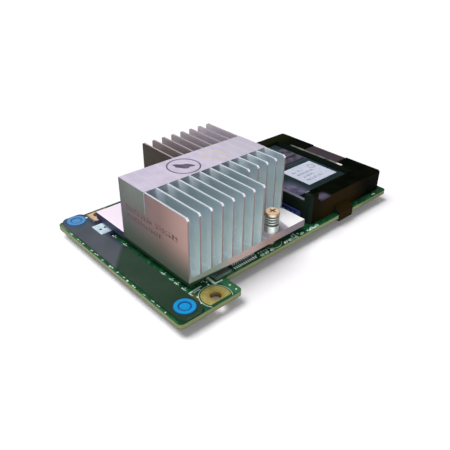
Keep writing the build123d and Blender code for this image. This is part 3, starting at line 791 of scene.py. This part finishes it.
# Finishes that only drift between two colours, with their roughness, metal share, grain and depth
PLAIN_FINISHES = (
    ("connector_black", (24, 24, 26), (34, 34, 36), 0.55, 0, 2600, 0.12, "mezzanine_connector"),
    ("contact_gold", (226, 190, 104), (204, 164, 84), 0.25, 0.8, 1800, 0.12, "connector_contacts"),
    ("battery_film", (204, 208, 226), (192, 198, 216), 0.5, 0, 1800, 0.05, "battery_label"),
    ("dull_brass", (108, 88, 54), (86, 68, 40), 0.45, 0.5, 1800, 0.12, "threaded_inserts"),
    ("package_laminate", (28, 92, 54), (20, 72, 42), 0.4, 0, 1800, 0.12, "controller_package"),
    ("polished_silicon", (92, 96, 106), (78, 80, 92), 0.15, 0.4, 1800, 0.12, "controller_die"),
    ("soft_pad", (150, 156, 164), (134, 140, 150), 0.85, 0, 1800, 0.12, "thermal_pad"),
    ("mould_compound", (34, 36, 38), (46, 48, 50), 0.5, 0, 3000, 0.12, *MEMORY_CHIPS),
    ("grey_mould", (88, 106, 96), (74, 90, 82), 0.5, 0, 3000, 0.12, "flash_chip"),
    ("pressed_ferrite", (70, 70, 74), (50, 50, 54), 0.6, 0, 2400, 0.3, *INDUCTORS),
    (
        "capacitor_body", (116, 104, 82), (92, 84, 66), 0.5, 0, 1800, 0.12,
        "bulk_capacitors", "underside_capacitors",
    ),
    ("nickel_lid", (200, 200, 198), (180, 180, 180), 0.3, 0.7, 1800, 0.12, "clock_crystal"),
    ("navy_plastic", (52, 68, 132), (40, 53, 110), 0.45, 0, 1800, 0.12, "battery_header"),
    ("tinned_pins", (206, 208, 206), (180, 184, 184), 0.3, 0.7, 1800, 0.12, "battery_header_pins"),
)


def dress_nodes():
    """Give every CAD node its finish, and give back the springs' own."""
    for name, colour, other, roughness, metallic, grain, depth, *nodes in PLAIN_FINISHES:
        dress(plain_look(name, colour, other, roughness, metallic, grain, depth), *nodes)
    wire = spring_look()
    small = part_row_look("small_part_body", (112, 132, 104), (18, 36, 26))
    dress(board_look(), "circuit_board")
    dress(gold_look(), "plated_hole_near", "plated_hole_far")
    dress(cover_look(), "connector_cover")
    dress(press_look(), "press_point_near", "press_point_far")
    dress(white_film_look(), "cover_label")
    dress(sink_look(), "heat_sink")
    dress(label_look(), "heat_sink_label")
    dress(screw_look(), "spring_screws")
    dress(wire, "compression_springs", "spring_seats")
    dress(leaded_look(), "bus_driver_chip", "regulator_1", "regulator_2")
    dress(small, "small_capacitors")
    dress(tray_look(), "battery_tray")
    dress(pack_look(), "battery_pack")
    return wire


# Detail pieces on the board

# Pads and marks along the board's edges and by its tab, measured from the heat sink's corner
BRIGHT_EDGE_PADS = (25.4, 16.1)
EDGE_MARKS = (
    49.6, 48.2, 44.9, 43, 41.5, 36.2, 33.4, 30.1, 24.9, 20.9, 18.6, 12.4, 8.2, 4.1, 1.2, -2.6,
)
TAB_PADS = (
    (11, -4.8), (11.1, -7.3), (-1, -4.1), (0.6, -2.8), (-0.3, -5.4), (6.5, -0.6), (6.9, 0.6),
)
NEAR_PADS = (
    (26.9, 0.9), (28.6, 1), (29.7, 0.9), (30.7, 0.8), (31.7, 0.7), (28.9, -0.7),
    (41, -0.3), (43.6, 0.4), (44.9, -0.6), (46.4, 0.3), (50.5, -0.65),
)

# White lines on the board: both ends, measured like the pads, and the width
PRINTED_LINES = (
    ((8.6, 3.2), (8.2, -1.3), 0.9),
    ((8, -1.5), (11.1, -1.6), 0.5),
    ((0.2, 0), (4.6, 0.25), 0.5),
    ((1, -0.7), (3.4, -0.6), 0.25),
    ((45.1, 1.4), (44.8, -1.4), 0.35),
    ((50.6, -0.9), (56, -0.9), 0.55),
    ((88.6, -0.3), (90.4, -0.35), 0.5),
)


def tinned_ends(node):
    """Centre, sides and height of each end of a node's capacitors."""
    for low, high in loose_boxes(node):
        length, width, height = high - low
        middle = (low + high) / 2
        end = max(length, width) * 0.26
        if length >= width:
            for x in (low.x + end / 2, high.x - end / 2):
                yield x, middle.y, end, width, height
        else:
            for y in (low.y + end / 2, high.y - end / 2):
                yield middle.x, y, length, end, height


def capacitor_lands(pads, node):
    """Tinned lands that reach out from under the capacitors' ends."""
    for x, y, length, width, _ in tinned_ends(node):
        pads.box(x, y, length + 0.24, width + 0.14, high=PAD_RISE)


def solder_pads(tin):
    """Tinned lands: under the capacitors' ends and the leads, and bare ones along the edges."""
    pads = board_stencil("solder_pads", tin, "pin_tin")
    capacitor_lands(pads, "small_capacitors")
    capacitor_lands(pads, "bulk_capacitors")
    for node, count, pitch in LEADS:
        low, high = box_of(node)
        for index in range(count):
            x = centre_of(node).x + (index - (count - 1) / 2) * pitch
            for y in (low.y, high.y):
                pads.box(x, y, 0.4, 0.9, high=PAD_RISE)
    for node in (*INDUCTORS, "clock_crystal"):
        low, high = box_of(node)
        for x in (low.x + 0.5, high.x - 0.5):
            pads.box(x, centre_of(node).y, 1.8, (high.y - low.y) * 0.6, high=PAD_RISE)
    for y in BRIGHT_EDGE_PADS:
        pads.box(*on_sink(-9.78, y), 0.5, 0.8, high=PAD_RISE)
    for place in TAB_PADS:
        pads.box(*on_sink(*place), random.uniform(0.4, 0.75), 0.5, high=PAD_RISE)
    under = board_stencil("underside_pads", tin, "pin_tin", DOWN)
    capacitor_lands(under, "underside_capacitors")


def capacitor_ends(tin):
    """Tinned caps on the ends of every capacitor, a little thicker than the body."""
    small = part_row_look("small_part_ends", (228, 244, 236), (34, 58, 44))
    for node, look, out in (
        ("small_capacitors", small, UP),
        ("bulk_capacitors", tin, UP),
        ("underside_capacitors", tin, DOWN),
    ):
        ends = board_stencil(f"{node}_ends", look, "pin_tin", out)
        for x, y, length, width, height in tinned_ends(node):
            ends.box(x, y, length + 0.04, width + 0.04, 0, height + 0.02)


def track_bundle(tracks, path, count, pitch, shift):
    """Parallel tracks along one path, each set off from the last and ended by a round land."""
    for index in range(count):
        step = (index - (count - 1) / 2) * pitch
        moved = [(x + shift[0] * step, y + shift[1] * step) for x, y in path]
        tracks.line(moved, TRACK_WIDTH, high=TRACK_RISE)
        for x, y in (moved[0], moved[-1]):
            tracks.disc(x, y, LAND_RADIUS, high=TRACK_RISE, steps=10)


def board_tracks():
    """Copper tracks and vias under the solder mask, on both faces."""
    green = plain_look("masked_copper", (44, 122, 74), (34, 104, 62), 0.35)
    top = board_stencil("upper_tracks", green, "board_laminate")
    near = -0.95
    for start in (13.5, 17.5, 28, 33, 47.5, 57, 76, 84):
        path = [on_sink(start, near), on_sink(start + 2, near), on_sink(start + 3.4, near + 1.4)]
        track_bundle(top, path, 3, 0.42, (1, -0.4))
    for start in (20, 27, 36, 44, 66, 76, 86):
        path = [on_sink(start, 56.6), on_sink(start + 4, 56.6), on_sink(start + 5.2, 55.4)]
        track_bundle(top, path, 3, 0.4, (0.5, 1))
    for start in (-7.2, -3, 2, 7, 12, 17, 22, 27, 32, 37, 42, 47):
        path = [on_sink(-9.85, start), on_sink(-9.85, start + 3.2)]
        track_bundle(top, path, 2, 0.3, (1, 0))
        for spot in range(5):
            y = start + random.uniform(0, 4.6)
            place = on_sink(random.uniform(-10, -9.5), y)
            top.box(*place, 0.3, random.uniform(0.3, 0.9), high=TRACK_RISE)
    for start in (0.5, 4.5, 12.5, 18.5, 33):
        path = [on_sink(-0.9, start), on_sink(0.6, start + 1.5), on_sink(3, start + 1.5)]
        track_bundle(top, path, 4, 0.42, (0.3, 1))
    path = [on_sink(10.6, -2.4), on_sink(10.6, -7)]
    track_bundle(top, path, 3, 0.45, (1, 0))

    under = board_stencil("underside_tracks", green, "board_laminate", DOWN)
    for name in MEMORY_CHIPS:
        low, high = box_of(name)
        middle = centre_of(name).x
        path = [(middle, low.y - 0.6), (middle, low.y - 4), (middle - 3, low.y - 7)]
        track_bundle(under, path, 7, 0.55, (1, 0.25))
        path = [(middle, high.y + 0.5), (middle, high.y + 1.4)]
        track_bundle(under, path, 9, 0.7, (1, 0))
    start = box_of("mezzanine_connector")[1].x
    for row in range(7):
        y = BOARD_LOW.y + 12 + row * 7
        bend = start + 4 + 1.5 * (row % 3)
        path = [(start + 0.7, y), (bend, y), (bend + 2, y + 2)]
        track_bundle(under, path, 8, 0.5, (-0.3, 1))
    for column in range(13):
        for row in range(13):
            x, y = on_sink(14.9 + column * 1.6, 28.9 + row * 1.2)
            under.disc(x, y, 0.2, high=TRACK_RISE, steps=8)
    for row in range(5):
        y = BOARD_HIGH.y - 9 - row * 9
        path = [(14, y), (30, y), (34, y - 4), (42, y - 4)]
        track_bundle(under, path, 5, 0.6, (0.3, 1))


def board_print():
    """White printed outlines and marks on both faces."""
    ink = plain_look("board_ink", (212, 236, 222), (190, 218, 202), 0.6)
    silk = board_stencil("upper_print", ink, "board_laminate")
    near_x, far_x = centre_of("plated_hole_near").x, centre_of("plated_hole_far").x
    silk.ring(near_x, BOARD_LOW.y + PAD_INSET, *PAD_RING, -38, 218)
    silk.ring(far_x, BOARD_HIGH.y - PAD_INSET, *PAD_RING, 142, 398)
    silk.ring(*on_sink(*SCREW_PLACES[0]), 3.55, 3.75, 205, 325)
    for start, end, width in PRINTED_LINES:
        silk.line([on_sink(*start), on_sink(*end)], width)
    for spot in range(9):
        place = on_sink(random.uniform(40.4, 44.2), random.uniform(-0.6, 0.9))
        silk.box(*place, random.uniform(0.3, 0.6), random.uniform(0.25, 0.5))
    for place in NEAR_PADS:
        silk.box(*on_sink(*place), random.uniform(0.5, 0.8), 0.75)
    for y in EDGE_MARKS:
        for spot in range(2):
            place = on_sink(random.uniform(-9.9, -9.5), y + random.uniform(-0.7, 0.7))
            silk.box(*place, random.uniform(0.2, 0.4), random.uniform(0.3, 0.8))
    for low, high in loose_boxes("small_capacitors"):
        if low.x < SINK_LOW.x:
            slip = random.uniform(-0.4, 0.4)
            if not SHADED_ROW[0] < low.y - SINK_LOW.y < SHADED_ROW[1]:
                silk.box(high.x + 0.35, (low.y + high.y) / 2, 0.16, 1.5)
                silk.box(high.x + 0.9, high.y + slip, 0.5, 0.22)
    for x, y, marks, height in (
        (42.2, -1.1, 5, 0.7), (5.6, 1.2, 4, 0.7), (-7.6, -8.55, 7, 0.55), (22, 56.2, 9, 0.8),
    ):
        silk.dot_print(*on_sink(x, y), marks, height)
    for node, margin in (
        ("power_inductor_1", 0.5), ("power_inductor_2", 0.5), ("regulator_1", 0.3),
        ("regulator_2", 0.3), ("clock_crystal", 0.35), ("battery_header", 0.25),
    ):
        silk.frame(*box_of(node), margin, 0.14)
    for box in loose_boxes("bulk_capacitors"):
        silk.frame(*box, 0.3, 0.12)
    silk.frame(*box_of("controller_package"), 0.8, 0.2)

    under = board_stencil("underside_print", ink, "board_laminate", DOWN)
    for name in MEMORY_CHIPS:
        low, high = box_of(name)
        under.frame(low, high, 0.45, 0.15)
        under.disc(low.x - 0.9, high.y + 0.1, 0.25)
    under.frame(*box_of("mezzanine_connector"), 0.5, 0.18)
    under.frame(*box_of("underside_capacitors"), 0.5, 0.12)
    for place in SCREW_PLACES:
        under.ring(*on_sink(*place), 3.2, 3.4)
    for place in ((60, 12), (60, 30), (74, 44)):
        under.dot_print(*on_sink(*place), 10, 1.2)
    under.frame(on_sink(58, 18), on_sink(88, 28), 0, 0.18)


def chip_marks():
    """Pale unreadable rows and a corner dot on the chips."""
    grey = plain_look("chip_ink", (132, 136, 138), (112, 116, 118), 0.7)
    for name in MEMORY_CHIPS:
        low, high = box_of(name)
        marks = Stencil(f"{name}_marks", grey, "chip_mould", (0, 0, low.z), out=DOWN)
        for row in range(3):
            marks.dot_print(low.x + 1.1, low.y + 3.4 + row * 1.7, 6, 0.95)
        marks.ring(low.x + 1.1, high.y - 1.1, 0.3, 0.42, steps=24)
    for name, count in (("regulator_1", 5), ("regulator_2", 5), ("bus_driver_chip", 8)):
        low, high = box_of(name)
        marks = Stencil(f"{name}_marks", grey, "chip_mould", (0, 0, high.z))
        for row in range(2):
            marks.dot_print(low.x + 0.6, centre_of(name).y - 0.9 + row, count, 0.62)
    for name in INDUCTORS:
        low, high = box_of(name)
        marks = Stencil(f"{name}_marks", grey, "inductor_ferrite", (0, 0, high.z))
        marks.dot_print(low.x + 1.3, centre_of(name).y - 0.7, 3, 1.3)


def inductor_terminals(tin):
    """Tinned tabs bent up the inductors' ends."""
    tabs = board_stencil("inductor_terminals", tin, "pin_tin")
    for name in INDUCTORS:
        for corner in box_of(name):
            tabs.box(corner.x, centre_of(name).y, 0.3, 2.6, 0, 1.3)


# Detail pieces on the heat sink, the labels and the cover

def sink_label_print():
    """A ring, a plain frame and a painted shadow line along the folded flap's edge on the heat
    sink's film.
    """
    violet = plain_look("violet_ink", (104, 92, 120), (86, 76, 100), 0.6)
    top = Stencil("label_ring", violet, "label_film", (0, 0, LABEL_HIGH.z))
    ring_x, ring_y = on_sink(19, 25.3)
    top.ring(ring_x, ring_y, 4.95, 5.4)
    spread = []
    corners = 48
    for step in range(corners):
        turn = 2 * math.pi * step / corners
        reach = 1 + 0.16 * math.sin(3 * turn) + 0.12 * math.cos(5 * turn)
        x, y = 3.1 * reach * math.cos(turn), 1.5 * reach * math.sin(turn)
        spread.append((ring_x + 0.8 * x + 0.6 * y, ring_y - 0.6 * x + 0.8 * y))
    top.polygon(spread, SUNK, PRINT_RISE)
    yellow = plain_look("yellow_ink", (218, 210, 172), (206, 198, 160), 0.6)
    outline = Stencil("label_frame", yellow, "label_film", (0, 0, LABEL_HIGH.z))
    outline.frame(on_sink(28.2, 23), on_sink(34.6, 28.2), 0, 0.45)
    # Painted shadow: a dark line down the folded flap's far edge
    dark = plain_look("edge_shadow", (70, 72, 74), (60, 62, 66), 0.6)
    edge = Stencil("label_edge", dark, "label_film", (LABEL_LOW.x, 0, 0), (0, 1, 0), UP, LEFT)
    line_y = LABEL_HIGH.y - 0.14
    edge.line([(line_y, LABEL_LOW.z + 0.1), (line_y, LABEL_HIGH.z - 0.1)], 0.24)


def fin_print():
    """Two faint rows of unreadable marks on the first fin's face."""
    brown = plain_look("fin_ink", (96, 70, 64), (82, 62, 58), 0.6)
    face = Stencil("fin_marks", brown, "sink_aluminium", (SINK_LOW.x, 0, 0), (0, -1, 0), UP, LEFT)
    for start, height, level, marks in ((29.2, 1.7, 12.5, 17), (28.8, 1.5, 9.9, 13)):
        face.dot_print(-SINK_LOW.y - start, SINK_LOW.z + level, marks, height)


def small_label_prints():
    """Marks on the battery's label and the cover's label."""
    slate = plain_look("slate_ink", (132, 138, 160), (116, 122, 146), 0.6)
    low, high = box_of("battery_label")
    marks = Stencil("battery_label_marks", slate, "label_film", (0, 0, high.z))
    for row, count in enumerate((9, 7, 9, 5)):
        marks.dot_print(low.x + 2.2, low.y + 2.4 + row * 2.4, count, 1.15)
    marks.ring(high.x - 3.1, high.y - 3.6, 1.3, 1.55, steps=32)
    dark = plain_look("dark_dot", (66, 80, 92), (54, 66, 80), 0.6)
    film_top = box_of("cover_label")[1].z
    dots = Stencil("cover_label_dots", dark, "white_label", (0, 0, film_top))
    for place in ((-1.9, 43.7), (-0.1, 44)):
        dots.disc(*on_sink(*place), 0.48)
    white = plain_look("white_dot", (230, 234, 236), (214, 220, 224), 0.5)
    spot = Stencil("cover_spot", white, "white_label", (0, 0, COVER_HIGH.z))
    spot.disc(*on_sink(-1.6, 53.6), 0.42)


def fin_rims():
    """Painted highlights: bright edges where the fins' tops turn down at the near corners."""
    # Painted highlights: near-white strips on the fins' rounded near top corners
    bright = plain_look("fin_rim_highlight", (250, 250, 252), (238, 238, 244), 0.3, 0.2)
    radius = 0.8
    turns = [math.radians(90 + 12 * step) for step in range(8)]
    for index in range(FIN_COUNT):
        origin = (SINK_LOW.x + index * FIN_PITCH, 0, 0)
        near_y = SINK_LOW.y + (NEAR_CUT if index >= WHOLE_FINS else 0)
        name = f"fin_rim_{index + 1}"
        rim = Stencil(name, bright, "sink_aluminium", origin, (0, 1, 0), UP, (1, 0, 0))
        path = [around(near_y + radius, SINK_HIGH.z - radius, radius, turn) for turn in turns]
        rim.line(path, 0.1, low=-PRINT_RISE, high=FIN_THICKNESS + PRINT_RISE)


def spring_coils(look):
    """Round wire springs on the CAD springs' own helix, standing for them."""
    points, faces = [], []
    low, high = box_of("compression_springs")
    rise = high.z - low.z - 2 * WIRE_RADIUS
    turns = rise / COIL_PITCH
    sides = 12
    steps = int(turns * 40)
    reach = COIL_RADIUS + WIRE_RADIUS
    for centre in ((high.x - reach, low.y + reach), (low.x + reach, high.y - reach)):
        rings = []
        for step in range(steps + 1):
            turn = 2 * math.pi * turns * step / steps
            outward = Vector((math.cos(turn), math.sin(turn), 0))
            level = low.z + WIRE_RADIUS + rise * step / steps
            middle = Vector((*centre, level)) + outward * COIL_RADIUS
            ring = []
            for corner in range(sides):
                angle = 2 * math.pi * corner / sides
                offset = outward * math.cos(angle) + Vector(UP) * math.sin(angle)
                points.append(tuple((middle + offset * WIRE_RADIUS) * MM))
                ring.append(len(points) - 1)
            rings.append(ring)
        for here, after in zip(rings, rings[1:]):
            for corner in range(sides):
                nearby = (corner + 1) % sides
                faces.append([here[corner], here[nearby], after[nearby], after[corner]])
        faces.append(rings[0][::-1])
        faces.append(rings[-1])
    piece = place_mesh("spring_coils", points, faces, look, smooth=True)
    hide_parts("compression_springs")


def build_details():
    """All the detail pieces."""
    tin = plain_look("solder", (238, 250, 243), (214, 230, 222), 0.4, 0.1)
    solder_pads(tin)
    capacitor_ends(tin)
    inductor_terminals(tin)
    board_tracks()
    board_print()
    chip_marks()
    sink_label_print()
    fin_print()
    small_label_prints()
    fin_rims()
    for stencil in Stencil.drawn:
        stencil.build()


# Stage

def add_camera():
    """The photograph's camera."""
    camera = add_object("camera", bpy.data.cameras.new("camera"))
    camera.data.lens = CAMERA_LENS
    camera.data.sensor_width = CAMERA_SENSOR
    camera.data.clip_start = 0.01
    back = CAMERA_RIGHT.cross(CAMERA_UP)
    turn = Matrix((CAMERA_RIGHT, CAMERA_UP, back)).transposed().to_4x4()
    camera.matrix_world = Matrix.Translation(CAMERA_PLACE) @ turn
    bpy.context.scene.camera = camera


def add_area(name, direction, distance, size, level):
    """A round soft light. A white surface that faces it alone would look as bright as its level."""
    lamp = bpy.data.lights.new(name, "AREA")
    lamp.shape = "DISK"
    lamp.size = size
    lamp.energy = level * (math.pi * distance) ** 2
    holder = add_object(name, lamp)
    holder.location = Vector(direction).normalized() * distance
    holder.rotation_euler = (-holder.location).to_track_quat("-Z", "Y").to_euler()


def add_world(level):
    """An even white room: plain white to the camera, softer as a light."""
    world = bpy.data.worlds.new("studio")
    bpy.context.scene.world = world
    graph = Graph(world)
    room, backdrop = (
        graph.node("Background", (255, 255, 255), strength).outputs[0]
        for strength in (level, 1)
    )
    choose = graph.node("MixShader", graph.seen_directly(), room, backdrop)
    graph.node("OutputWorld", choose.outputs[0])


def add_floor(near_lift, far_lift):
    """A pale floor with the card's shadow on it, lifted so that it reads as white further out."""
    mesh = bpy.data.meshes.new("floor")
    half = 0.7
    corners = [(-half, -half, 0), (half, -half, 0), (half, half, 0), (-half, half, 0)]
    mesh.from_pydata(corners, [], [[0, 1, 2, 3]])
    floor = add_object("floor", mesh)
    material = bpy.data.materials.new("floor")
    graph = Graph(material)
    paper = graph.node("BsdfDiffuse")
    paper.inputs["Color"].default_value = (0.96, 0.94, 0.97, 1)
    place = graph.node("TexCoord").outputs["Object"]
    reach = graph.node("VectorMath", place, operation="LENGTH").outputs["Value"]
    fade = graph.ramp(reach, 0.1, 0.6, near_lift, far_lift)
    strength = graph.math("MULTIPLY", graph.seen_directly(), fade)
    lift = graph.node("Emission", None, strength)
    total = graph.node("AddShader", paper.outputs[0], lift.outputs[0])
    graph.node("OutputMaterial", total.outputs[0])
    mesh.materials.append(material)


random.seed(7)
wire_look = dress_nodes()
build_details()
spring_coils(wire_look)
add_floor(near_lift=0.05, far_lift=0.4)
add_world(level=0.2)
add_area("key", (-0.35, 0.22, 1), 2, 1.2, 0.93)
add_area("left_fill", (-1, -0.15, 0.06), 1.6, 1.2, 0.22)
add_area("near_fill", (-0.35, -1, 0.06), 1.6, 1.2, 0.75)
add_camera()
bpy.context.scene.view_settings.view_transform = "Standard"
